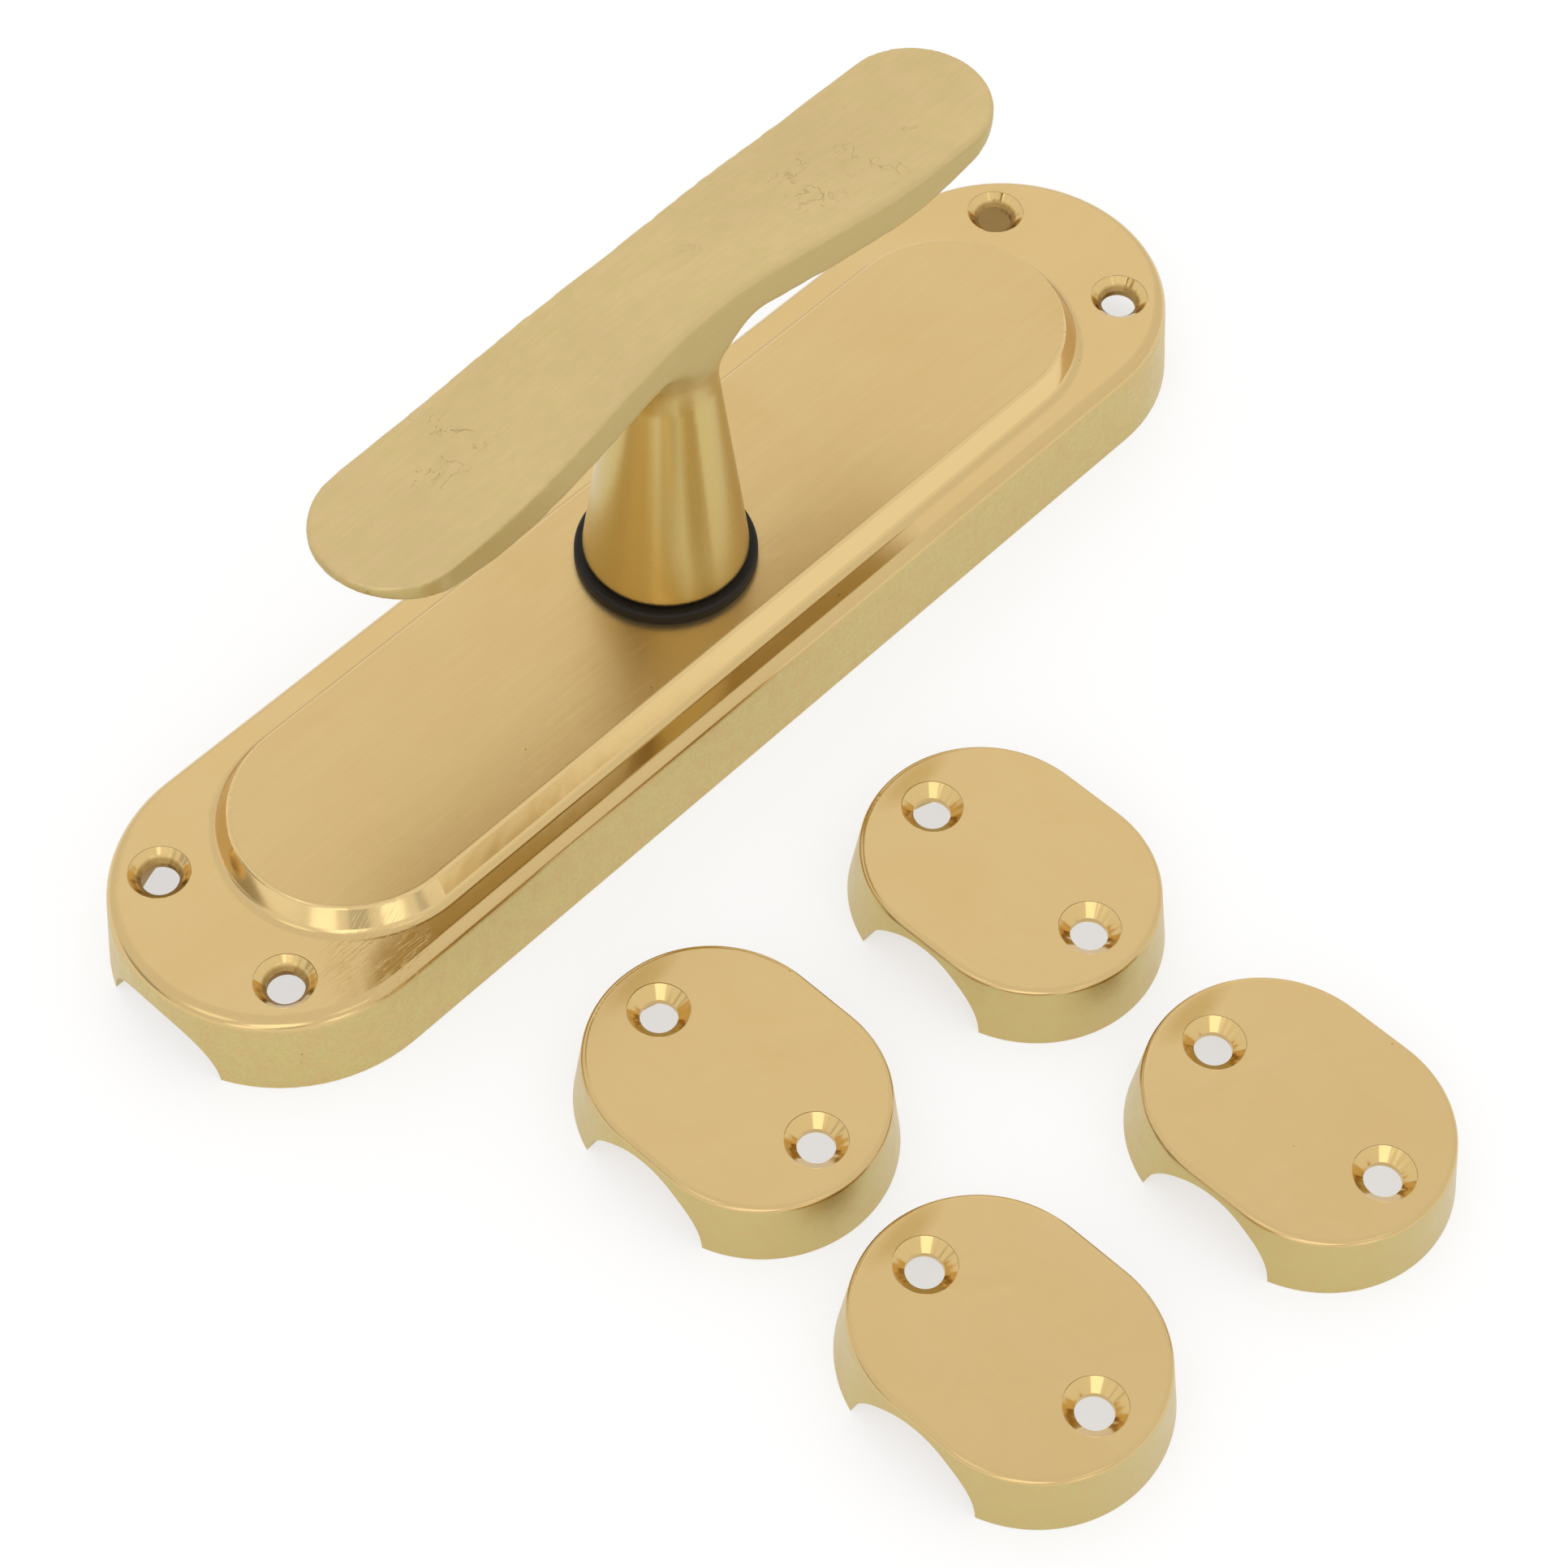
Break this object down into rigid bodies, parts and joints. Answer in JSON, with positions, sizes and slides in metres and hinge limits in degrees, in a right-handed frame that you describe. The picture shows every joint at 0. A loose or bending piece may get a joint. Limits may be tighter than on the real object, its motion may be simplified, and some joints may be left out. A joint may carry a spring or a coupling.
{
  "type": "surface-mounted double bolt gear",
  "caption": "Surface-mounted bolt gear with a wing handle on a hollow brass cover, racks that drive two half-round rods apart, and separate rod guides.",
  "frame": {"origin": "on the mounting plane, on the spindle's axis", "axes": "+X along the cover and the rods, +Y across the cover, +Z out of the door along the spindle"},
  "size_m": [0.1846, 0.1587, 0.0698],
  "materials": {
    "cover_brass": "brushed satin with polished edges",
    "handle_brass": "matte satin casting",
    "guide_brass": "satin",
    "turned_brass": "fine turned",
    "black_plastic": "smooth moulded",
    "zinc_steel": "dull zinc plated",
    "gear_steel": "sintered and oiled",
    "bright_steel": "drawn bright",
    "spring_steel": "blued spring steel",
    "black_steel": "black oxide",
    "nylon": "moulded"
  },
  "bodies": {
    "root": {"cover_plate": "cover_brass", "collar_ring": "black_plastic", "bearing_bush": "turned_brass", "disc_spring": "spring_steel", "slide_strip_a": "nylon", "slide_strip_b": "nylon", "strip_rivets": "zinc_steel", "gear_back_plate": "zinc_steel", "back_plate_screws": "zinc_steel", "detent_spring": "spring_steel", "detent_rivet": "zinc_steel", "rod_guide_1": "guide_brass", "rod_guide_2": "guide_brass", "rod_guide_3": "guide_brass", "rod_guide_4": "guide_brass"},
    "handle": {"lever_handle": "handle_brass", "grub_screw": "black_steel", "spindle": "bright_steel", "retaining_ring": "spring_steel", "drive_pinion": "gear_steel"},
    "rack_a_body": {"rack_a": "gear_steel", "rod_peg_a": "bright_steel"},
    "rack_b_body": {"rack_b": "gear_steel", "rod_peg_b": "bright_steel"}
  },
  "joints": [
    {"name": "handle_turn", "type": "hinge", "parent": "root", "child": "handle", "pos_m": [0, 0, 0], "axis": [0, 0, 1], "range_deg": [0, 90]},
    {"name": "rack_a_slide", "type": "slide", "parent": "root", "child": "rack_a_body", "axis": [-1, 0, 0], "range_m": [0, 0.0189]},
    {"name": "rack_b_slide", "type": "slide", "parent": "root", "child": "rack_b_body", "axis": [1, 0, 0], "range_m": [0, 0.0189]}
  ],
  "couplings": [
    {"joint": "rack_a_slide", "follows": "handle_turn", "m_per_rad": 0.012},
    {"joint": "rack_b_slide", "follows": "handle_turn", "m_per_rad": 0.012}
  ]
}
